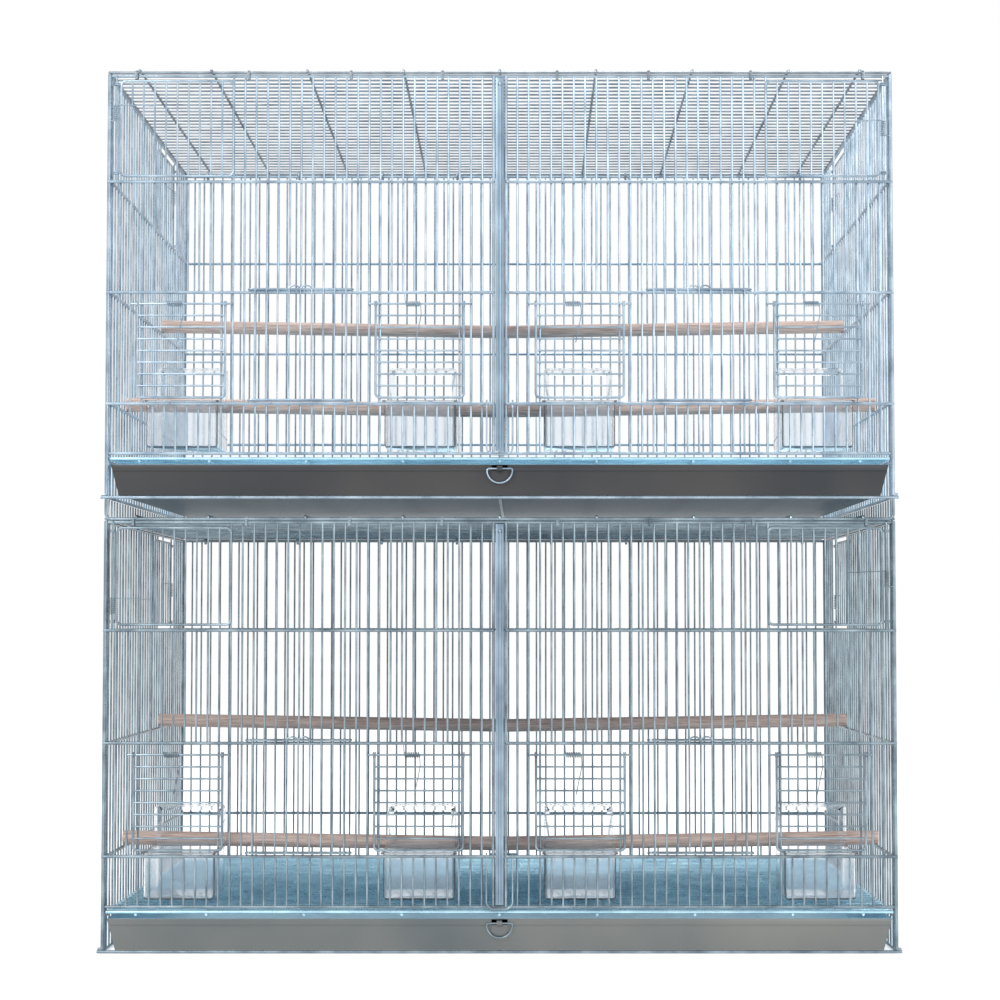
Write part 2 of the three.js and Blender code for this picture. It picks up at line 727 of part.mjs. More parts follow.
// ---------------------------------------------------------------- the stack
const cageNames = ["lower", "upper"];
const stack = new THREE.Group();
for (let level = 0; level < cageCount; level++) {
  const cage = new THREE.Group();
  const named = (piece) => `${cageNames[level]}_${piece}`;
  const add = (piece, solid, material = galvanised) => cage.add(meshOf(named(piece), solid, material));
  add("front_panel", frontPanel());
  add("back_panel", backPanel());
  add("left_side_panel", sidePanel("left"));
  add("right_side_panel", sidePanel("right"));
  add("top_panel", topPanel(level < cageCount - 1));
  add("tray_runner", trayRunner());
  add("floor_grille", floorGrille());
  add("tray", tray(), trayMetal);
  add("tray_pull_ring", pullRing());
  add("tray_latch", trayLatch());
  add("divider", divider());
  for (const f of feeders) {
    add(`feeder_door_${f.name}`, feederDoor(f));
    add(`feeder_cup_${f.name}`, feederCup(f), clearPlastic);
  }
  for (const e of entries) add(`entry_door_${e.name}`, entryDoor(e));
  for (const n of frontNests) add(`front_nest_door_${n.name}`, nestDoor(n));
  for (const n of sideNests) add(`side_nest_door_${n.name}`, nestDoor(n));
  for (const { side, name } of halves) {
    add(`upper_perch_${name}`, perch(side, upperPerchDepth, middleLevel), perchWood);
    add(`lower_perch_${name}`, perch(side, lowerPerchDepth, feederLevel), perchWood);
  }
  cage.position.z = level * stackPitch;
  stack.add(cage);
}

const least = Math.min(...springGaps);
console.log(`least gap between turns of a spring: ${least.toFixed(2)} mm`);
if (least < springGap) throw new Error("the turns of a spring are too close");

export default stack;
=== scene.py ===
# The canary breeding cage as it looks: a stack of two galvanised wire cages with clear feeder cups,
# wooden perches, sheet trays and a divider sheet each. Lengths are in millimetres until rod() and
# its like turn them into metres. Each cage is modelled once, low in the stack, and copied upwards.
import math

import bpy
from mathutils import Matrix, Vector


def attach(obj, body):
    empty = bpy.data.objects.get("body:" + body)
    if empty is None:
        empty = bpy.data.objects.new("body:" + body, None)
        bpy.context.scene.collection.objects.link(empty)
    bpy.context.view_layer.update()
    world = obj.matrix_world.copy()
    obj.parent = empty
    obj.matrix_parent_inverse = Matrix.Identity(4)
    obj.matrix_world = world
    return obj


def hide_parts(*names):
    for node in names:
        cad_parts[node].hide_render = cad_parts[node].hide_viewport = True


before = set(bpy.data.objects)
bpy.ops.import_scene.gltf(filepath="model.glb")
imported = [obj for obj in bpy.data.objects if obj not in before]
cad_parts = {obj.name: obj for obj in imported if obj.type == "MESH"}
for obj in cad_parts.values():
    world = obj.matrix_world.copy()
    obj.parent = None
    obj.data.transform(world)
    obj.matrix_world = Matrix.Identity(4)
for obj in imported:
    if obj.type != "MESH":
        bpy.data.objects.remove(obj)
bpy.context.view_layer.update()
bpy.ops.object.select_all(action="DESELECT")

MM = 0.001
SAME = 1e-5  # two coordinates that differ by less are one
STACK_PITCH = 434.6  # from one cage to the next

# ------------------------------------------------------------------ sizes, as in the solids
RAIL = 3.0
POST = 3.6
FRAME_WIRE = 2.4
HINGE_WIRE = 1.8
BAR = 2.0
FINE_BAR = 1.7
SPRING_WIRE = 0.9

FRONT = 224.5  # plane of the bars of the front and the back
SIDE = 379.5
CORNER = 379.2
RAIL_OUT = 2.5  # the sizes that end in OUT are distances in front of a wall's plane
POST_OUT = 1.25
PAST_POST = 1.6  # a rail's end beyond the middle of the corner post
BASE = 1.5  # heights from here on
FOOT = 4.4
BOTTOM_RAIL, FEEDER_RAIL, MIDDLE_RAIL, UPPER_RAIL, TOP_RAIL = 44.0, 92.0, 200.0, 308.0, 412.0
POST_TOP = TOP_RAIL + 1.4
TOP_LEVEL = 415.3
GRILLE_LEVEL = 39.0
GUIDE_LEVEL = 35.7
RIM = 19.0

SLOT = 6.0  # from the middle to the posts beside the divider
BAR_STEP = (CORNER - SLOT) / 34
SIDE_END = 220.9
SIDE_STEP = 2 * SIDE_END / 32
TOP_END = 225.1
FLOOR_HALF = 375.3
CROSS_WIRE = RAIL - 0.4  # the heavy wires across the top panel and the floor grille
BACK_BARS = 68
DECK_BARS = 32  # of the top panel and of the floor grille

FEEDER_HINGE = 188.9
FEEDER_OUT = 3.0
ENTRY_OUT = 5.5
NEST_OUT = 2.9
NEST_HINGE = 372.0
CUP_RIM = 93.8
PERCH = 14.0
UPPER_PERCH_DEPTH, LOWER_PERCH_DEPTH = 290, 93  # behind the front
SPRING_LENGTH = 15.0

X, Y, Z = Vector((1, 0, 0)), Vector((0, 1, 0)), Vector((0, 0, 1))


def bar_place(k):
    return SLOT + k * BAR_STEP


def side_place(k):
    return -SIDE_END + k * SIDE_STEP


SIDE_NEST_HINGE = side_place(28) - 7.2
# how high the spring of each nest-box door sits: in the front and in the side
NEST_SPRINGS = {
    ("lower", -1): (324, 346),
    ("lower", 1): (350, 332),
    ("upper", -1): (368, 366),
    ("upper", 1): (353, 358),
}


# ------------------------------------------------------------------ modelling helpers
def pick(*pieces):
    bpy.ops.object.select_all(action="DESELECT")
    for piece in pieces:
        piece.select_set(True)
    bpy.context.view_layer.objects.active = pieces[0]


def settle():
    """The place of what is selected goes into its mesh."""
    bpy.ops.object.transform_apply(location=True, rotation=True, scale=True)


def facing(way):
    return Vector(way).to_track_quat("Z", "Y").to_euler()


def rod(start, end, width, sides=8):
    """A straight wire."""
    a, b = Vector(start) * MM, Vector(end) * MM
    bpy.ops.mesh.primitive_cylinder_add(
        vertices=sides,
        radius=width * MM / 2,
        depth=(b - a).length,
        location=(a + b) / 2,
        rotation=facing(b - a),
    )
    settle()
    return bpy.context.object


def repeat(piece, step, count):
    """Copies of a piece in a row, joined to it."""
    pick(piece)
    bpy.ops.object.modifier_add(type="ARRAY")
    array = piece.modifiers[-1]
    array.count = count
    array.use_relative_offset = False
    array.use_constant_offset = True
    array.constant_offset_displace = Vector(step) * MM
    bpy.ops.object.modifier_apply(modifier=array.name)
    return piece


def row(start, end, width, step, count, sides=8):
    return repeat(rod(start, end, width, sides), step, count)


def bent(start, heading, moves, width, sides=8, bend_steps=5):
    """A wire drawn from its end: a number is a straight length, a triple a bend of so many degrees
    at a radius about an axis."""
    place, way = Vector(start) * MM, Vector(heading).normalized()
    bpy.ops.mesh.primitive_circle_add(
        vertices=sides,
        radius=width * MM / 2,
        fill_type="NGON",
        location=place,
        rotation=facing(way),
    )
    settle()
    wire = bpy.context.object
    bpy.ops.object.mode_set(mode="EDIT")
    bpy.ops.mesh.select_all(action="SELECT")
    for move in moves:
        if isinstance(move, (int, float)):
            step = way * move * MM
            bpy.ops.mesh.extrude_region_move(TRANSFORM_OT_translate={"value": step})
            place = place + step
            continue
        degrees, radius, axis = move
        axis = Vector(axis).normalized()
        turn = Matrix.Rotation(math.radians(degrees), 3, axis)
        inward = axis.cross(way) * math.copysign(radius * MM, degrees)
        centre = place + inward
        steps = max(2, round(bend_steps * abs(degrees) / 90))
        bpy.ops.mesh.spin(steps=steps, angle=-math.radians(degrees), center=centre, axis=axis)
        place = centre - turn @ inward
        way = turn @ way
    bpy.ops.mesh.select_all(action="SELECT")
    bpy.ops.mesh.remove_doubles(threshold=1e-6)
    bpy.ops.mesh.normals_make_consistent(inside=False)
    bpy.ops.object.mode_set(mode="OBJECT")
    return wire


def coil(start, axis, radius, width, turns, length, sides=6, turn_steps=12):
    """A close-wound spring round an axis, closed at both ends."""
    bpy.ops.mesh.primitive_circle_add(
        vertices=sides,
        radius=width * MM / 2,
        location=(radius * MM, 0, 0),
        rotation=(math.pi / 2, 0, 0),
    )
    settle()
    wire = bpy.context.object
    bpy.ops.object.modifier_add(type="SCREW")
    screw = wire.modifiers[-1]
    screw.iterations = turns
    screw.screw_offset = length * MM / turns
    screw.steps = turn_steps
    screw.render_steps = turn_steps
    bpy.ops.object.modifier_apply(modifier=screw.name)
    bpy.ops.object.mode_set(mode="EDIT")
    bpy.ops.mesh.select_all(action="SELECT")
    bpy.ops.mesh.fill_holes(sides=sides)
    bpy.ops.mesh.select_all(action="SELECT")
    bpy.ops.mesh.normals_make_consistent(inside=False)
    bpy.ops.object.mode_set(mode="OBJECT")
    wire.rotation_euler = facing(axis)
    wire.location = Vector(start) * MM
    settle()
    return wire


def box(low, high):
    """A box between two corners."""
    a, b = Vector(low) * MM, Vector(high) * MM
    bpy.ops.mesh.primitive_cube_add(size=1, location=(a + b) / 2, scale=b - a)
    settle()
    return bpy.context.object


def block(low, high, bevel=0.0, segments=2):
    """A box between two corners, its edges rounded."""
    piece = box(low, high)
    if bevel:
        bpy.ops.object.mode_set(mode="EDIT")
        bpy.ops.mesh.select_all(action="SELECT")
        bpy.ops.mesh.bevel(offset=bevel * MM, segments=segments, affect="EDGES")
        bpy.ops.object.mode_set(mode="OBJECT")
    return piece


def select_faces(piece, wanted):
    """Opens the piece for editing with the faces selected that wanted() says."""
    bpy.ops.object.mode_set(mode="EDIT")
    bpy.ops.mesh.select_mode(type="FACE")
    bpy.ops.mesh.select_all(action="DESELECT")
    bpy.ops.object.mode_set(mode="OBJECT")
    for polygon in piece.data.polygons:
        polygon.select = wanted(polygon)
    bpy.ops.object.mode_set(mode="EDIT")


def select_edges(piece, wanted):
    """Opens the piece for editing with the edges selected whose two ends wanted() accepts."""
    bpy.ops.object.mode_set(mode="EDIT")
    bpy.ops.mesh.select_mode(type="EDGE")
    bpy.ops.mesh.select_all(action="DESELECT")
    bpy.ops.object.mode_set(mode="OBJECT")
    points = piece.data.vertices
    for edge in piece.data.edges:
        edge.select = wanted(*(points[i].co for i in edge.vertices))
    bpy.ops.object.mode_set(mode="EDIT")


def delete_faces(piece, wanted):
    select_faces(piece, wanted)
    bpy.ops.mesh.delete(type="FACE")
    bpy.ops.object.mode_set(mode="OBJECT")


def thicken(piece, wall, even=False):
    """Gives an open sheet its thickness, on the inner side."""
    bpy.ops.object.modifier_add(type="SOLIDIFY")
    skin = piece.modifiers[-1]
    skin.thickness = wall * MM
    skin.offset = -1
    skin.use_even_offset = even
    bpy.ops.object.modifier_apply(modifier=skin.name)


def joined(parts):
    pick(*parts)
    bpy.ops.object.join()
    return bpy.context.object


# ------------------------------------------------------------------ finishes
def group(name, inputs, outputs):
    tree = bpy.data.node_groups.new(name, "ShaderNodeTree")
    for label, kind, value in inputs:
        socket = tree.interface.new_socket(label, in_out="INPUT", socket_type=kind)
        socket.default_value = value
    for label, kind in outputs:
        tree.interface.new_socket(label, in_out="OUTPUT", socket_type=kind)
    return tree, tree.nodes.new("NodeGroupInput"), tree.nodes.new("NodeGroupOutput")


def zinc_group():
    """Zinc coating: soft blotches between two colours, with fine drawing marks in the height."""
    tree, given, out = group(
        "zinc coating",
        [
            ("Light", "NodeSocketColor", (0.7, 0.8, 0.88, 1)),
            ("Dark", "NodeSocketColor", (0.3, 0.4, 0.5, 1)),
            ("Blotch Scale", "NodeSocketFloat", 40.0),
            ("Grain Scale", "NodeSocketFloat", 400.0),
            ("Smooth", "NodeSocketFloat", 0.2),
            ("Rough", "NodeSocketFloat", 0.4),
        ],
        [("Color", "NodeSocketColor"), ("Roughness", "NodeSocketFloat"), ("Height", "NodeSocketFloat")],
    )
    place = tree.nodes.new("ShaderNodeTexCoord")
    blotch = tree.nodes.new("ShaderNodeTexNoise")
    blotch.inputs["Detail"].default_value = 3
    grain = tree.nodes.new("ShaderNodeTexNoise")
    grain.inputs["Detail"].default_value = 2
    ramp = tree.nodes.new("ShaderNodeValToRGB")
    ramp.color_ramp.elements[0].position = 0.25
    ramp.color_ramp.elements[1].position = 0.75
    mix = tree.nodes.new("ShaderNodeMix")
    mix.data_type = "RGBA"
    rough = tree.nodes.new("ShaderNodeMapRange")
    link = tree.links.new
    link(place.outputs["Object"], blotch.inputs["Vector"])
    link(place.outputs["Object"], grain.inputs["Vector"])
    link(given.outputs["Blotch Scale"], blotch.inputs["Scale"])
    link(given.outputs["Grain Scale"], grain.inputs["Scale"])
    link(blotch.outputs["Fac"], ramp.inputs["Fac"])
    link(ramp.outputs["Color"], mix.inputs["Factor"])
    link(given.outputs["Dark"], mix.inputs["A"])
    link(given.outputs["Light"], mix.inputs["B"])
    link(mix.outputs["Result"], out.inputs["Color"])
    link(grain.outputs["Fac"], rough.inputs["Value"])
    link(given.outputs["Smooth"], rough.inputs["To Min"])
    link(given.outputs["Rough"], rough.inputs["To Max"])
    link(rough.outputs["Result"], out.inputs["Roughness"])
    link(grain.outputs["Fac"], out.inputs["Height"])
    return tree


ZINC = zinc_group()


def material(name):
    made = bpy.data.materials.new(name)
    made.use_nodes = True
    return made, made.node_tree, made.node_tree.nodes["Principled BSDF"]


def zinc(name, light, dark, smooth, rough, metallic, blotch=40.0, bump=0.1):
    made, tree, shader = material(name)
    coat = tree.nodes.new("ShaderNodeGroup")
    coat.node_tree = ZINC
    coat.inputs["Light"].default_value = (*light, 1)
    coat.inputs["Dark"].default_value = (*dark, 1)
    coat.inputs["Blotch Scale"].default_value = blotch
    coat.inputs["Smooth"].default_value = smooth
    coat.inputs["Rough"].default_value = rough
    relief = tree.nodes.new("ShaderNodeBump")
    relief.inputs["Strength"].default_value = bump
    relief.inputs["Distance"].default_value = 0.0004
    tree.links.new(coat.outputs["Color"], shader.inputs["Base Color"])
    tree.links.new(coat.outputs["Roughness"], shader.inputs["Roughness"])
    tree.links.new(coat.outputs["Height"], relief.inputs["Height"])
    tree.links.new(relief.outputs["Normal"], shader.inputs["Normal"])
    shader.inputs["Metallic"].default_value = metallic
    return made


def wood(name):
    """Pale turned wood, its grain along the perch."""
    made, tree, shader = material(name)
    place = tree.nodes.new("ShaderNodeTexCoord")
    stretch = tree.nodes.new("ShaderNodeMapping")
    stretch.inputs["Scale"].default_value = (4, 90, 90)
    fibre = tree.nodes.new("ShaderNodeTexNoise")
    fibre.inputs["Scale"].default_value = 9
    fibre.inputs["Detail"].default_value = 5
    tone = tree.nodes.new("ShaderNodeValToRGB")
    tone.color_ramp.elements[0].position = 0.32
    tone.color_ramp.elements[0].color = (0.44, 0.32, 0.28, 1)
    tone.color_ramp.elements[1].position = 0.62
    tone.color_ramp.elements[1].color = (0.80, 0.63, 0.56, 1)
    relief = tree.nodes.new("ShaderNodeBump")
    relief.inputs["Strength"].default_value = 0.25
    relief.inputs["Distance"].default_value = 0.0005
    tree.links.new(place.outputs["Object"], stretch.inputs["Vector"])
    tree.links.new(stretch.outputs["Vector"], fibre.inputs["Vector"])
    tree.links.new(fibre.outputs["Fac"], tone.inputs["Fac"])
    tree.links.new(tone.outputs["Color"], shader.inputs["Base Color"])
    tree.links.new(fibre.outputs["Fac"], relief.inputs["Height"])
    tree.links.new(relief.outputs["Normal"], shader.inputs["Normal"])
    shader.inputs["Roughness"].default_value = 0.65
    return made


def clear(name):
    """Clear plastic, faintly hazy."""
    made, tree, shader = material(name)
    place = tree.nodes.new("ShaderNodeTexCoord")
    haze = tree.nodes.new("ShaderNodeTexNoise")
    haze.inputs["Scale"].default_value = 60
    rough = tree.nodes.new("ShaderNodeMapRange")
    rough.inputs["To Min"].default_value = 0.02
    rough.inputs["To Max"].default_value = 0.10
    tree.links.new(place.outputs["Object"], haze.inputs["Vector"])
    tree.links.new(haze.outputs["Fac"], rough.inputs["Value"])
    tree.links.new(rough.outputs["Result"], shader.inputs["Roughness"])
    shader.inputs["Base Color"].default_value = (0.94, 0.97, 1.0, 1)
    shader.inputs["Transmission Weight"].default_value = 0.95
    shader.inputs["IOR"].default_value = 1.35
    return made


# light and dark colour, roughness where smooth and where rough, how metallic, size of the blotches
# the wires of the two cages are lit and shaded copies of one zinc: the upper one lighter, painted light, the
# lower one darker, painted shade
HIGH_WIRE_PAINTED_LIGHT = zinc("upper galvanised wire in painted light", (0.50, 0.61, 0.70), (0.17, 0.24, 0.31), 0.2, 0.4, 0.8)
LOW_WIRE_PAINTED_SHADE = zinc("lower galvanised wire in painted shade", (0.38, 0.475, 0.53), (0.105, 0.145, 0.18), 0.2, 0.4, 0.8)
SHEET = zinc("divider sheet", (0.40, 0.52, 0.62), (0.16, 0.23, 0.30), 0.25, 0.4, 0.8, blotch=25)
# near black: painted dark reflection on the divider's folded front edge
FOLD_PAINTED_REFLECTION = zinc("divider fold in painted dark reflection", (0.10, 0.15, 0.22), (0.03, 0.04, 0.06), 0.3, 0.5, 0.7, blotch=25)
# a greyer, darker zinc for the upper cage's top panel
TOP_WIRE = zinc("greyer darker top wire", (0.42, 0.48, 0.53), (0.12, 0.155, 0.19), 0.25, 0.45, 0.8)
# a brighter, bluer copy of the zinc for the floor grille: painted reflection of the blue tray
FLOOR_WIRE = zinc("floor wire in painted tray reflection", (0.62, 0.90, 1.0), (0.34, 0.56, 0.70), 0.2, 0.4, 0.8)
PAN = zinc("inside of the tray", (0.55, 0.82, 0.95), (0.36, 0.60, 0.74), 0.25, 0.42, 0.35, blotch=9)
# near black under the tray: painted shade
UNDER_PAINTED_SHADE = zinc("painted shade under the tray", (0.035, 0.085, 0.12), (0.018, 0.05, 0.08), 0.3, 0.5, 0.6, blotch=9)
# the tray's front face: grey in the lower cage and near black in the upper, a copy in painted shade
LOW_FACE = zinc("lower tray face", (0.26, 0.26, 0.24), (0.11, 0.135, 0.15), 0.3, 0.5, 0.6, blotch=5)
HIGH_FACE_PAINTED_SHADE = zinc("upper tray face in painted shade", (0.078, 0.074, 0.073), (0.02, 0.028, 0.037), 0.3, 0.5, 0.35, blotch=5)
PLASTIC = clear("clear cup plastic")
WOOD = wood("turned perch wood")

made = []  # every finished piece: object, the node it stands for or none, its body, its slot


def finish_piece(parts, name, body, look, slot, angle=40, node=True):
    """Joins a piece and notes what it stands for: the CAD node of its name, or none."""
    piece = joined(parts)
    piece.name = name + "_shown"
    piece.data.name = piece.name
    bpy.ops.object.shade_smooth_by_angle(angle=math.radians(angle))
    piece.data.materials.clear()
    piece.data.materials.append(look)
    made.append((piece, name if node else None, body, slot))
    return piece


def wire_piece(parts, node, body=None, look=None):
    # pieces take the lower cage's wire, in painted shade, unless given another
    return finish_piece(parts, node, body or node, look or LOW_WIRE_PAINTED_SHADE, "galvanised_wire")


# ------------------------------------------------------------------ walls
# A wall is drawn with across, up and out: (u, v, d) in its own directions.
def front_at(u, v, d=0.0):
    return (u, -FRONT - d, v)


def back_at(u, v, d=0.0):
    return (u, FRONT + d, v)


def side_at(side):
    return lambda u, v, d=0.0: (side * (SIDE + d), u, v)


def nest_hinge(at, hinge):
    """The upright wire that a nest-box door turns on, its ends turned in to the rails."""
    a = Vector(at(hinge, UPPER_RAIL))
    out = (Vector(at(hinge, UPPER_RAIL, 1)) - a).normalized()
    turn_up = out.cross(Z)
    bend = 1.4
    reach = NEST_OUT - bend
    height = TOP_RAIL - UPPER_RAIL - 2 * bend
    moves = [reach, (90, bend, turn_up), height, (90, bend, turn_up), reach]
    return bent(at(hinge, UPPER_RAIL), out, moves, HINGE_WIRE)


def spring(at, place, along, radius, turns, length, legs):
    """A coil with its two straight legs. Legs are pairs of points in the wall's directions."""
    parts = [coil(at(*place), along, radius, SPRING_WIRE, turns, length)]
    for start, end in legs:
        parts.append(rod(at(*start), at(*end), SPRING_WIRE, 6))
    return parts


FEEDERS = {
    "left_inner": (-bar_place(10), -bar_place(3)),
    "left_outer": (-bar_place(31), -bar_place(24)),
    "right_inner": (bar_place(3), bar_place(10)),
    "right_outer": (bar_place(24), bar_place(31)),
}
ENTRIES = {"left": (-bar_place(21), -bar_place(13)), "right": (bar_place(13), bar_place(21))}
CLIPS = [55.7, 144.6, 244.0, 353.0]

# upright bars of each half of the front: bars from rail to rail, then runs of bars as the first
# bar's number, how many there are and the heights that they span
WHOLE_BARS = (1, 2, 3, 10, 11, 12, 13, 21, 22, 23)
BAR_RUNS = (
    (4, 6, ((BOTTOM_RAIL, FEEDER_RAIL), (MIDDLE_RAIL, TOP_RAIL))),
    (14, 7, ((BOTTOM_RAIL, FEEDER_RAIL), (MIDDLE_RAIL, TOP_RAIL))),
    (24, 1, ((BOTTOM_RAIL, UPPER_RAIL),)),
    (25, 6, ((BOTTOM_RAIL, FEEDER_RAIL), (MIDDLE_RAIL, UPPER_RAIL))),
    (31, 3, ((BOTTOM_RAIL, UPPER_RAIL),)),
)


def front_panel():
    at = front_at
    base_past, base_out = 5.4, 1.0
    foot_in, foot_past, foot_wire = 1.0, 4.6, 2.4
    hook_bend, hook_end = 1.8, 2.0
    spring_offset = 14
    parts = []
    for past, v, d in ((base_past, BASE, base_out), (PAST_POST, BOTTOM_RAIL, 0), (PAST_POST, TOP_RAIL, 0)):
        parts.append(rod(at(-CORNER - past, v, d), at(CORNER + past, v, d), RAIL, 12))
    for side in (-1, 1):
        # a corner post stands on the base rail, on a foot that is bent outwards
        corner, slot = side * CORNER, side * SLOT
        foot_start, foot_end = side * (CORNER - foot_in), side * (CORNER + foot_past)
        parts.append(rod(at(corner, FOOT, POST_OUT), at(corner, POST_TOP, POST_OUT), POST, 12))
        parts.append(rod(at(foot_start, FOOT, POST_OUT), at(foot_end, FOOT, POST_OUT), foot_wire))
        parts.append(rod(at(slot, BOTTOM_RAIL, POST_OUT), at(slot, TOP_RAIL, POST_OUT), RAIL, 12))
        run = CORNER + PAST_POST - SLOT - hook_bend
        for v in (FEEDER_RAIL, MIDDLE_RAIL, UPPER_RAIL):
            # a middle rail runs in from past the corner and is bent back round the post of the slot
            start = at(side * (CORNER + PAST_POST), v, RAIL_OUT)
            parts.append(bent(start, -side * X, [run, (-side * 90, hook_bend, Z), hook_end], RAIL, 10))
        for k in WHOLE_BARS:
            u = side * bar_place(k)
            parts.append(rod(at(u, BOTTOM_RAIL), at(u, TOP_RAIL), BAR))
        step = (side * BAR_STEP, 0, 0)
        for first, count, spans in BAR_RUNS:
            u = side * bar_place(first)
            for low, high in spans:
                parts.append(row(at(u, low), at(u, high), BAR, step, count))
    for left, right in FEEDERS.values():
        parts.append(feeder_hinge(at, left - BAR_STEP, right + BAR_STEP))
        parts += feeder_spring((left + right) / 2 - spring_offset)
    for side in (-1, 1):
        parts.append(nest_hinge(at, side * NEST_HINGE))
    wire_piece(parts, "lower_front_panel", "lower_cage")


def feeder_spring(start):
    """The spring of a feeder door: one leg hooks over the middle rail, the other presses on the door."""
    radius, turns = 2.4, 9
    end = start + SPRING_LENGTH
    knee = (end + 0.5, 178, FEEDER_OUT + 1.6)
    legs = [
        ((start, FEEDER_HINGE + 2, FEEDER_OUT + 1), (start - 0.8, MIDDLE_RAIL, RAIL_OUT + 1.2)),
        ((end, FEEDER_HINGE - 1, FEEDER_OUT + 2), knee),
        (knee, (end - 5, 151, FEEDER_OUT + 1.6)),
    ]
    return spring(front_at, (start, FEEDER_HINGE, FEEDER_OUT), X, radius, turns, SPRING_LENGTH, legs)


def feeder_hinge(at, left, right):
    """The wire that a feeder door hangs on, its ends turned in to the bars on either side."""
    bend = 1.2
    reach = FEEDER_OUT - bend
    moves = [reach, (90, bend, -Z), right - left - 2 * bend, (90, bend, -Z), reach]
    return bent(at(right, FEEDER_HINGE), -Y, moves, HINGE_WIRE)


def back_panel():
    at = back_at
    ledge_half, ledge_out = 16.5, -1.5
    ends = -CORNER - PAST_POST, CORNER + PAST_POST
    parts = []
    for v in (BASE, TOP_RAIL):
        parts.append(rod(at(ends[0], v), at(ends[1], v), RAIL, 12))
    for v in (FEEDER_RAIL, MIDDLE_RAIL, UPPER_RAIL):
        parts.append(rod(at(ends[0], v, RAIL_OUT), at(ends[1], v, RAIL_OUT), RAIL, 10))
    for side in (-1, 1):
        parts.append(rod(at(side * CORNER, 0, POST_OUT), at(side * CORNER, POST_TOP, POST_OUT), POST, 12))
    step = 2 * CORNER / (BACK_BARS + 1)
    first = -CORNER + step
    parts.append(row(at(first, BASE), at(first, TOP_RAIL), BAR, (step, 0, 0), BACK_BARS))
    # the short wire that the divider's back end rests on
    ledge = at(-ledge_half, BOTTOM_RAIL, ledge_out), at(ledge_half, BOTTOM_RAIL, ledge_out)
    parts.append(rod(*ledge, RAIL, 10))
    wire_piece(parts, "lower_back_panel", "lower_cage")


def tray_runner():
    """The wire that the tray slides on, between the base rails of the front and the back."""
    end = FRONT - 1.8
    wire_piece([rod((0, -end, BASE), (0, end, BASE), RAIL, 12)], "lower_tray_runner", "lower_cage")


def side_panel(side, name):
    at = side_at(side)
    post_in = -0.8
    parts = []
    for u in (-SIDE_END, SIDE_END):
        parts.append(rod(at(u, 0, post_in), at(u, POST_TOP, post_in), POST, 12))
    for v in (BASE, TOP_RAIL):
        parts.append(rod(at(-SIDE_END, v), at(SIDE_END, v), RAIL, 12))
    for v in (GUIDE_LEVEL, FEEDER_RAIL, MIDDLE_RAIL, UPPER_RAIL):
        parts.append(rod(at(-SIDE_END, v, -RAIL_OUT), at(SIDE_END, v, -RAIL_OUT), RAIL, 10))
    for first, count, high in ((1, 20, TOP_RAIL), (21, 7, UPPER_RAIL), (28, 4, TOP_RAIL)):
        u = side_place(first)
        parts.append(row(at(u, BASE), at(u, high), BAR, (0, SIDE_STEP, 0), count))
    parts.append(nest_hinge(at, SIDE_NEST_HINGE))
    wire_piece(parts, f"lower_{name}_side_panel", "lower_cage")


CROSS = [0.0, 93.5, -93.5, 187.0, -187.0, 280.5, -280.5]


def clip(x, end):
    """A crimped ring round the top rail of the wall and the rail of the top panel."""
    tall, deep, bend, wire, broad = 5.4, 2.0, 1.6, 1.0, 3.0
    y = end * (FRONT + 1.0)
    start = (x, y + end * 2.2, TOP_RAIL + 3.4)
    moves = []
    for length in (tall, deep, tall, deep):
        moves += [length, (-end * 90, bend, X)]
    ring = bent(start, -Z, moves[:-1], wire, 6, 3)
    bpy.ops.transform.resize(value=(broad, 1, 1), center_override=(x * MM, y * MM, TOP_RAIL * MM))
    settle()
    return ring


def staple(y, bend, width, sides, bend_steps):
    """A wire across the top panel whose two ends turn up into the rim."""
    up = RIM - bend
    moves = [up, (90, bend, -Y), 2 * (SIDE - bend), (90, bend, -Y), up]
    return bent((-SIDE, y, TOP_LEVEL + RIM), -Z, moves, width, sides, bend_steps)


def top_panel(node, with_rim):
    level = TOP_LEVEL
    rail_bend, bar_bend = 5.0, 2.4
    hook_bend, hook_end = 1.6, 0.8
    parts = []
    for y in (-TOP_END, TOP_END):
        if with_rim:
            parts.append(staple(y, rail_bend, RAIL, 12, 5))
        else:
            parts.append(rod((-SIDE, y, level), (SIDE, y, level), RAIL, 12))
    for x in (-SIDE, SIDE):
        parts.append(rod((x, -TOP_END, level), (x, TOP_END, level), RAIL, 12))
    step = 2 * FRONT / (DECK_BARS + 1)
    first = -FRONT + step
    if with_rim:
        parts.append(repeat(staple(first, bar_bend, BAR, 6, 3), (0, step, 0), DECK_BARS))
    else:
        parts.append(row((-SIDE, first, level), (SIDE, first, level), BAR, (0, step, 0), DECK_BARS, 6))
    for x in [*CROSS, -350.0, 350.0]:
        # the heavy wires hook down over the front rail
        start = (x, TOP_END + 1.4, level + RAIL_OUT)
        moves = [2 * TOP_END + 1.6, (90, hook_bend, X), hook_end]
        parts.append(bent(start, -Y, moves, CROSS_WIRE, 8, 3))
    for x in CLIPS:
        for end in (-1, 1):
            parts += [clip(x, end), clip(-x, end)]
    wire_piece(parts, node, node.split("_")[0] + "_cage")


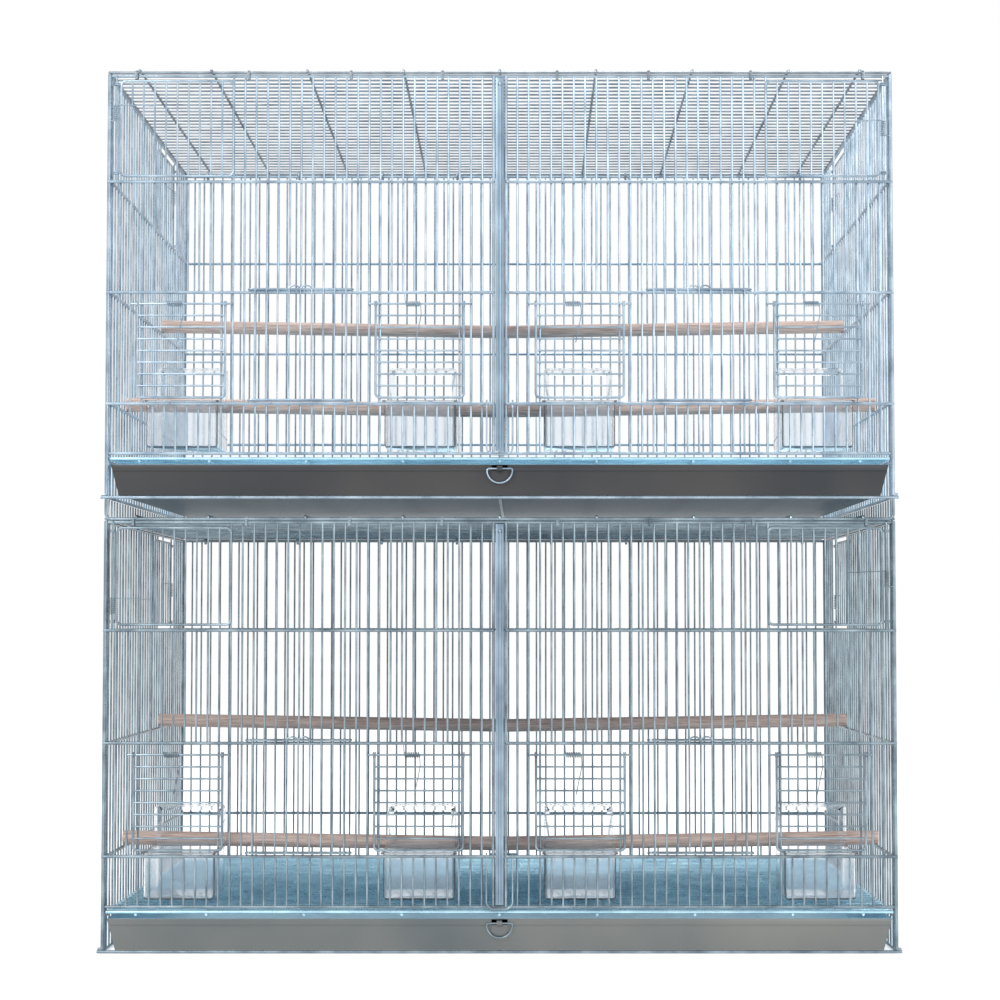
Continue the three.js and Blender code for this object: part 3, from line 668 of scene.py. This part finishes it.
def floor_grille():
    """The pull-out wire floor, its thin wires across and its heavy wires under them."""
    level = GRILLE_LEVEL
    parts = []
    for y in (-FRONT, SIDE_END):
        parts.append(rod((-FLOOR_HALF, y, level), (FLOOR_HALF, y, level), RAIL, 12))
    for x in (-FLOOR_HALF, FLOOR_HALF):
        parts.append(rod((x, -FRONT, level), (x, SIDE_END, level), RAIL, 12))
    step = (FRONT + SIDE_END) / (DECK_BARS + 1)
    first = -FRONT + step
    ends = (-FLOOR_HALF, first, level), (FLOOR_HALF, first, level)
    parts.append(row(*ends, BAR, (0, step, 0), DECK_BARS, 6))
    under = level - RAIL_OUT
    for x in [*CROSS, -348.0, 348.0]:
        parts.append(rod((x, -FRONT, under), (x, SIDE_END, under), CROSS_WIRE))
    # the grille takes the brighter, bluer wire: painted reflection of the blue tray
    wire_piece(parts, "lower_floor_grille", look=FLOOR_WIRE)


# ------------------------------------------------------------------ doors
def eye(centre, axis, hole=3.1, wire=1.3):
    """A wire end rolled round the wire that it turns on."""
    bpy.ops.mesh.primitive_torus_add(
        major_segments=14,
        minor_segments=6,
        major_radius=(hole + wire) / 2 * MM,
        minor_radius=wire / 2 * MM,
        location=Vector(centre) * MM,
        rotation=facing(axis),
    )
    settle()
    return bpy.context.object


def eyes(at, u, v, out, axis):
    """Two turns of a wire end side by side, round a wire that runs along or up the wall."""
    across, up = (0, 1) if axis == Z else (1, 0)
    apart = 0.8
    return [eye(at(u + shift * across, v + shift * up, out), axis) for shift in (-apart, apart)]


def feeder_door(name):
    """A U of wire hung on its hinge wire by rolled ends, with bars across it."""
    left, right = FEEDERS[name]
    middle = (left + right) / 2
    half, bend, bottom, cross_bars = 42.5, 4.0, 98.0, 7
    top = FEEDER_HINGE - 2.4
    parts = []
    drop = top - bottom - bend
    moves = [drop, (90, bend, -Y), 2 * (half - bend), (90, bend, -Y), drop]
    parts.append(bent(front_at(middle - half, top, FEEDER_OUT), -Z, moves, FRAME_WIRE, 10))
    for u in (middle - half, middle + half):
        parts += eyes(front_at, u, FEEDER_HINGE, FEEDER_OUT, X)
    step = (FEEDER_HINGE - bottom) / (cross_bars + 1)
    for k in range(1, cross_bars + 1):
        v = bottom + k * step
        ends = front_at(middle - half, v, FEEDER_OUT), front_at(middle + half, v, FEEDER_OUT)
        parts.append(rod(*ends, FINE_BAR))
    wire_piece(parts, f"lower_feeder_door_{name}")


def entry_door(name):
    """A guillotine door: bars between two flat loops that slide on the front's bars."""
    left, right = ENTRIES[name]
    middle = (left + right) / 2
    past_bars = 6.6
    half = (right - left) / 2 + past_bars
    bottom, top, behind = 95.4, 203.0, -2.6
    bend = (ENTRY_OUT - behind) / 2
    parts = []
    for v in (bottom, top):
        # a long flat loop that runs in front of the bars and returns behind them
        run = 2 * (half - bend)
        moves = [run, (180, bend, Z), run, (180, bend, Z)]
        parts.append(bent(front_at(middle - half + bend, v, ENTRY_OUT), X, moves, HINGE_WIRE, 8, 4))
    for k in range(round((right - left) / BAR_STEP) + 1):
        u = left + k * BAR_STEP
        parts.append(rod(front_at(u, bottom, ENTRY_OUT), front_at(u, top, ENTRY_OUT), FINE_BAR))
    arch, steep, loop_wire = 11.5, math.radians(60), 1.5
    for u in (middle - arch, middle):
        # the finger loop, two flat arches side by side
        heading = (math.cos(steep), 0, math.sin(steep))
        moves = [(120, arch / (2 * math.sin(steep)), Y)]
        parts.append(bent(front_at(u, top, ENTRY_OUT), heading, moves, loop_wire))
    wire_piece(parts, f"lower_entry_door_{name}")


def nest_door(at, node, hinge, free, pitch):
    """A nest-box door, from its hinge wire to its free edge, with bars about a pitch apart."""
    beside_hinge, gap, bend, lug = 4.4, 5.5, 4.5, 1.6
    inward = math.copysign(1, free - hinge)
    stile = hinge + inward * beside_hinge
    low, high = UPPER_RAIL + gap, TOP_RAIL - gap
    width = abs(free - stile)
    a = Vector(at(0, 0))
    across = (Vector(at(1, 0)) - a).normalized() * inward
    out = across.cross(Z)
    side_run, up_run = width - 2 * bend, high - low - 2 * bend
    moves = []
    for length in (side_run, up_run, side_run, up_run):
        moves += [length, (90, bend, out)]
    parts = [bent(at(stile + inward * bend, low, NEST_OUT), across, moves, FRAME_WIRE, 10, 4)]
    for v in (low + 3, high - 3):
        parts += eyes(at, hinge, v, NEST_OUT, Z)
        parts.append(rod(at(hinge + inward * 1.8, v, NEST_OUT), at(stile, v, NEST_OUT), lug))
    spaces = round(width / pitch)
    step = inward * width / spaces
    first = at(stile + step, low, NEST_OUT), at(stile + step, high, NEST_OUT)
    shift = Vector(at(step, 0)) - Vector(at(0, 0))
    parts.append(row(*first, FINE_BAR, shift, spaces - 1))
    wire_piece(parts, node)


def divider():
    """A sheet whose front edge is folded across, with a hem that ends in a rolled tip. The fold is coloured
    near black, a painted dark reflection; the hem keeps the sheet's lighter colour.
    """
    low, high, front, rear = 45.8, 410.2, -227.5, 222.0
    half_sheet, half_fold, fold_back = 0.4, 4.0, front + 0.8
    hem_x, hem_y, hem_wire, hem_top, tip_radius = 0.3, -228.1, 2.6, high - 7, 2.1
    sheet = block((-half_sheet, front + 0.1, low), (half_sheet, rear, high))
    fold = block((-half_fold, front, low), (half_fold, fold_back, high), 0.3)
    hem = rod((hem_x, hem_y, low + 3), (hem_x, hem_y, hem_top), hem_wire, 12)
    bpy.ops.mesh.primitive_uv_sphere_add(
        segments=16,
        ring_count=10,
        radius=tip_radius * MM,
        location=Vector((hem_x, hem_y - 0.1, hem_top)) * MM,
    )
    settle()
    tip = bpy.context.object
    parts = [sheet, fold, hem, tip]
    whole = finish_piece(parts, "lower_divider", "lower_divider", SHEET, "divider_sheet")
    # the fold's faces beside the hem get the near-black colour: painted dark reflection
    whole.data.materials.append(FOLD_PAINTED_REFLECTION)
    for polygon in whole.data.polygons:
        beside_hem = abs(polygon.center.x - hem_x * MM) > 1.5 * MM
        if polygon.center.y < (fold_back + 0.1) * MM and beside_hem:
            polygon.material_index = 1


def nest_springs(cage, side):
    """The springs of a cage's nest-box doors, a leg of each hooked to the wall, the other to the door."""
    lift = STACK_PITCH if cage == "upper" else 0
    # upper springs take the wire in painted light, lower springs the wire in painted shade
    look = HIGH_WIRE_PAINTED_LIGHT if cage == "upper" else LOW_WIRE_PAINTED_SHADE
    low_front, low_side = NEST_SPRINGS[cage, side]
    radius, turns = 2.2, 8
    for at, hinge, inward, low, name in (
        (front_at, side * NEST_HINGE, -side, lift + low_front, "front"),
        (side_at(side), SIDE_NEST_HINGE, -1, lift + low_side, "side"),
    ):
        high = low + SPRING_LENGTH
        legs = [
            ((hinge - inward * 1.5, low, NEST_OUT), (hinge - inward * 7.2, low, NEST_OUT - 0.5)),
            ((hinge + inward, high, NEST_OUT + 1.8), (hinge + inward * 36, high - 1.5, NEST_OUT + 1.9)),
        ]
        parts = spring(at, (hinge, low, NEST_OUT), Z, radius, turns, SPRING_LENGTH, legs)
        hand = "left" if side < 0 else "right"
        piece_name = f"{cage}_{name}_nest_spring_{hand}"
        finish_piece(parts, piece_name, f"{cage}_cage", look, "galvanised_wire", node=False)


def tray_latch():
    """A U of wire that hangs on the feeder rail and reaches down to the tray."""
    at = front_at
    half, top, bottom, out = 12.5, FEEDER_RAIL, 42.5, 5.0
    bend = 7.0
    shoulder = top - 4
    drop = shoulder - bottom - bend
    moves = [drop, (90, bend, -Y), 2 * (half - bend), (90, bend, -Y), drop]
    parts = [bent(at(-half, shoulder, out), -Z, moves, HINGE_WIRE, 10)]
    for u in (-half, half):
        parts.append(eye(at(u, top, RAIL_OUT), X, hole=4.4, wire=1.6))
        parts.append(rod(at(u, top - 2.2, out - 0.4), at(u, shoulder - 0.2, out), HINGE_WIRE))
    wire_piece(parts, "lower_tray_latch")


RING_Y, RING_Z = -229.35, 29.0


def pull_ring():
    """A D of wire: the straight side through the tray's tab, then half a turn back to it."""
    radius, corner, joint, wire = 12.3, 1.5, 0.01, 1.7
    moves = [2 * (radius - corner), (90, corner, Y), joint, (177, radius, Y), joint, (89, corner, Y)]
    start = (-radius + corner, RING_Y, RING_Z)
    parts = [bent(start, X, moves, wire, 10, 8)]
    wire_piece(parts, "lower_tray_pull_ring")


# ------------------------------------------------------------------ tray, cups and perches
def ring_strap():
    """A short tube of sheet that holds the pull ring."""
    half, outside, hole = 2.6, 5.6, 3.2
    strap = rod((-half, RING_Y, RING_Z), (half, RING_Y, RING_Z), outside, 14)
    drill = rod((-half - 1.4, RING_Y, RING_Z), (half + 1.4, RING_Y, RING_Z), hole, 14)
    pick(strap)
    bpy.ops.object.modifier_add(type="BOOLEAN")
    cut = strap.modifiers[-1]
    cut.operation = "DIFFERENCE"
    cut.object = drill
    cut.solver = "EXACT"
    bpy.ops.object.modifier_apply(modifier=cut.name)
    bpy.data.objects.remove(drill)
    return strap


def tray():
    """A folded sheet pan whose ends slope in, with a hemmed front edge and a tab for the ring."""
    half, taper, front, rear = 375.0, 8.0, -226.5, 220.9
    floor, lip, sheet, hem_deep, rounding = 3.3, 33.0, 1.0, 6.0, 0.45
    hem_end, tab_half, tab_low = half - 2, 8, 16
    pan = box((-half, front, floor), (half, rear, lip))
    select_faces(pan, lambda face: face.normal.z < -0.9)
    bpy.ops.transform.resize(value=((half - taper) / half, 1, 1), center_override=(0, 0, floor * MM))
    bpy.ops.object.mode_set(mode="OBJECT")
    delete_faces(pan, lambda face: face.normal.z > 0.9)
    thicken(pan, sheet, even=True)
    hem = block((-hem_end, front - sheet, lip - hem_deep), (hem_end, front + 0.5, lip), rounding)
    fold = block((-hem_end, front + 0.2, lip - 1.2), (hem_end, front + 2.6, lip), rounding)
    tab = block((-tab_half, front - sheet, tab_low), (tab_half, front + 0.5, lip), 0.3)
    strap = ring_strap()
    whole = finish_piece([pan, hem, fold, tab, strap], "lower_tray", "lower_tray", PAN, "tray_steel", 30)
    whole.data.materials.append(LOW_FACE)
    whole.data.materials.append(UNDER_PAINTED_SHADE)
    for polygon in whole.data.polygons:
        if polygon.center.y < (front + 0.4) * MM and polygon.center.z > floor * MM:
            polygon.material_index = 1
        # the downward faces of the floor get the near-black colour: painted shade
        elif polygon.normal.z < -0.9 and polygon.center.z < (floor + 0.3) * MM:
            polygon.material_index = 2


def feeder_cup(name):
    """A clear cup that hangs on the feeder rail, its tub inside the front bars."""
    left, right = FEEDERS[name]
    middle = (left + right) / 2
    half, wall, floor = 34.5, 1.6, 50.0
    near, far = -222.7, -147.7
    rim, lip = CUP_RIM, CUP_RIM + 1.8
    parts = [tub(middle, half, near, far, floor, rim, wall)]
    parts += flange(middle, half, near, far, rim, lip)
    parts.append(hood(middle, half, far, lip, wall))
    finish_piece(parts, f"lower_feeder_cup_{name}", "lower_cage", PLASTIC, "clear_plastic", 35)


def tub(middle, half, near, far, floor, top, wall):
    """The cup's bowl, rounded at its upright edges and its bottom, open above."""
    corner, foot = 5.0, 3.0
    shell = box((middle - half, near, floor), (middle + half, far, top))
    select_edges(shell, lambda a, b: abs(a.x - b.x) + abs(a.y - b.y) < SAME)
    bpy.ops.mesh.bevel(offset=corner * MM, segments=4, affect="EDGES")
    bpy.ops.object.mode_set(mode="OBJECT")
    select_faces(shell, lambda face: face.normal.z < -0.9)
    bpy.ops.mesh.bevel(offset=foot * MM, segments=3, affect="EDGES")
    bpy.ops.object.mode_set(mode="OBJECT")
    delete_faces(shell, lambda face: face.normal.z > 0.9)
    thicken(shell, wall)
    return shell


def flange(middle, half, near, far, rim, lip):
    """The rim round the tub, four strips of which the front one lies over the rail."""
    past, front_past, inside, rounding = 1.0, 2.0, 1.6, 0.5
    left, right = middle - half, middle + half
    front = -FRONT - past
    return [
        block((left - front_past, front, rim), (right + front_past, near + inside, lip), rounding),
        block((left - past, far - inside, rim), (right + past, far + past, lip), rounding),
        block((left - past, near, rim), (left + inside, far, lip), rounding),
        block((right - inside, near, rim), (right + past, far, lip), rounding),
    ]


def hood(middle, half, far, lip, wall):
    """The frame that stands at the back of the tub, with round upper corners and short returns."""
    top, band, bend, returns = 135.0, 6.0, 4.0, 9.0
    shell = box((middle - half, far - returns, lip - 0.6), (middle + half, far, top))

    def upper_corner(a, b):
        return abs(a.x - b.x) + abs(a.z - b.z) < SAME and a.z > (top - 1) * MM

    select_edges(shell, upper_corner)
    bpy.ops.mesh.bevel(offset=bend * MM, segments=4, affect="EDGES")
    bpy.ops.object.mode_set(mode="OBJECT")
    delete_faces(shell, lambda face: face.normal.y < -0.9 or face.normal.z < -0.9)
    select_faces(shell, lambda face: face.normal.y > 0.9)
    bpy.ops.mesh.inset(thickness=band * MM)
    bpy.ops.mesh.delete(type="FACE")
    bpy.ops.object.mode_set(mode="OBJECT")
    thicken(shell, wall)
    return shell


def perch(side, name, depth, rail):
    """A turned rod from the side panel to the divider, a little lower there."""
    front_face, clearance, drop, rounding = -228.5, 0.3, 6.0, 0.8
    side_gap, divider_gap = 2.0, 0.7
    y = front_face + depth
    height = rail + RAIL / 2 + clearance + PERCH / 2
    outer, inner = side * (SIDE - side_gap), side * divider_gap
    stick = rod((outer, y, height), (inner, y, height - drop), PERCH, 24)
    select_faces(stick, lambda face: abs(face.normal.x) > 0.9)
    bpy.ops.mesh.bevel(offset=rounding * MM, segments=2, affect="EDGES")
    bpy.ops.object.mode_set(mode="OBJECT")
    finish_piece([stick], f"lower_{name}", "lower_cage", WOOD, "perch_wood")


# ------------------------------------------------------------------ one cage, then the copy
front_panel()
back_panel()
tray_runner()
side_panel(-1, "left")
side_panel(1, "right")
floor_grille()
divider()
tray_latch()
pull_ring()
tray()
for name in FEEDERS:
    feeder_door(name)
    feeder_cup(name)
for name in ENTRIES:
    entry_door(name)
for side, name in ((-1, "left"), (1, "right")):
    nest_door(front_at, f"lower_front_nest_door_{name}", side * NEST_HINGE, side * bar_place(23), BAR_STEP)
    nest_door(side_at(side), f"lower_side_nest_door_{name}", SIDE_NEST_HINGE, side_place(20), SIDE_STEP)
    perch(side, f"upper_perch_{name}", UPPER_PERCH_DEPTH, MIDDLE_RAIL)
    perch(side, f"lower_perch_{name}", LOWER_PERCH_DEPTH, FEEDER_RAIL)

upper = []
for piece, node, body, slot in made:
    pick(piece)
    bpy.ops.object.duplicate()
    copy = bpy.context.object
    copy.location.z += STACK_PITCH * MM
    settle()
    high_node = node.replace("lower_", "upper_", 1)
    copy.name = high_node + "_shown"
    copy.data.name = copy.name
    # the upper copies swap to the wire in painted light and to the tray face in painted shade
    for slot_index, low_look in enumerate(copy.data.materials):
        copy.data.materials[slot_index] = {LOW_WIRE_PAINTED_SHADE: HIGH_WIRE_PAINTED_LIGHT, LOW_FACE: HIGH_FACE_PAINTED_SHADE}.get(low_look, low_look)
    upper.append((copy, high_node, body.replace("lower_", "upper_", 1), slot))
made += upper

top_panel("lower_top_panel", True)
top_panel("upper_top_panel", False)
piece, node, body, slot = made.pop()
pick(piece)
piece.location.z += STACK_PITCH * MM
settle()
# the upper top panel takes the greyer, darker zinc
piece.data.materials[0] = TOP_WIRE
made.append((piece, node, body, slot))

for cage, side in NEST_SPRINGS:
    nest_springs(cage, side)

for piece, node, body, slot in made:
    if node:
        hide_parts(node)
    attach(piece, body)


# ------------------------------------------------------------------ floor, light and camera
BACKDROP_LIGHT = 0.55  # what the backdrop and the floor give to the object


def stage_material(name, level):
    """Pale to light that falls on it, and white to the camera and to what mirrors or shows it."""
    made_material, tree, shader = material(name)
    shader.inputs["Base Color"].default_value = (level, level, level, 1)
    shader.inputs["Roughness"].default_value = 0.9
    shader.inputs["Specular IOR Level"].default_value = 0
    shader.inputs["Emission Color"].default_value = (1, 1, 1, 1)
    rays = tree.nodes.new("ShaderNodeLightPath")
    straight = tree.nodes.new("ShaderNodeMath")
    straight.operation = "MAXIMUM"
    shown = tree.nodes.new("ShaderNodeMath")
    shown.operation = "MAXIMUM"
    glow = tree.nodes.new("ShaderNodeMath")
    glow.operation = "MULTIPLY"
    glow.inputs[1].default_value = BACKDROP_LIGHT
    tree.links.new(rays.outputs["Is Camera Ray"], straight.inputs[0])
    tree.links.new(rays.outputs["Is Glossy Ray"], straight.inputs[1])
    tree.links.new(straight.outputs[0], shown.inputs[0])
    tree.links.new(rays.outputs["Is Transmission Ray"], shown.inputs[1])
    tree.links.new(shown.outputs[0], glow.inputs[0])
    tree.links.new(glow.outputs[0], shader.inputs["Emission Strength"])
    return made_material


bpy.ops.mesh.primitive_plane_add(size=30, location=(0, 0, -0.0005))
floor = bpy.context.object
floor.name = "studio_floor"
floor.data.materials.append(stage_material("pale floor", 0.85))

world = bpy.data.worlds.new("studio")
bpy.context.scene.world = world
world.use_nodes = True
sky = world.node_tree
background = sky.nodes["Background"]
rays = sky.nodes.new("ShaderNodeLightPath")
seen = sky.nodes.new("ShaderNodeMath")
seen.operation = "MAXIMUM"
through = sky.nodes.new("ShaderNodeMath")
through.operation = "MAXIMUM"
strength = sky.nodes.new("ShaderNodeMapRange")
strength.inputs["To Min"].default_value = BACKDROP_LIGHT
strength.inputs["To Max"].default_value = 1.0
sky.links.new(rays.outputs["Is Camera Ray"], seen.inputs[0])
sky.links.new(rays.outputs["Is Glossy Ray"], seen.inputs[1])
sky.links.new(seen.outputs[0], through.inputs[0])
sky.links.new(rays.outputs["Is Transmission Ray"], through.inputs[1])
sky.links.new(through.outputs[0], strength.inputs["Value"])
sky.links.new(strength.outputs["Result"], background.inputs["Strength"])
background.inputs["Color"].default_value = (1, 1, 1, 1)


def lamp(name, place, target, size, power):
    """A square lamp, its side in metres and its power in watts, turned to a target."""
    bpy.ops.object.light_add(type="AREA", location=place)
    light = bpy.context.object
    light.name = name
    light.data.size = size
    light.data.energy = power
    light.rotation_euler = (Vector(target) - Vector(place)).to_track_quat("-Z", "Y").to_euler()


STACK_MIDDLE = (0, 0, 0.4)
lamp("key", (-1.6, -2.2, 2.4), STACK_MIDDLE, 1.4, 45)
lamp("fill", (2.0, -2.0, 1.2), STACK_MIDDLE, 1.6, 18)
lamp("top", (0.2, 0.4, 2.6), STACK_MIDDLE, 1.2, 25)

# fitted to points measured in the photograph, within what a shift this small allows
LOOK_UP = math.radians(2.5)
bpy.ops.object.camera_add(location=(0.0221, -2.1944, 0.3138), rotation=(math.pi / 2 + LOOK_UP, 0, 0))
camera = bpy.context.object
camera.data.lens = 73.66
camera.data.sensor_width = 36
camera.data.shift_x = -0.0226
camera.data.shift_y = 0.035
bpy.context.scene.camera = camera
bpy.context.scene.view_settings.view_transform = "Standard"
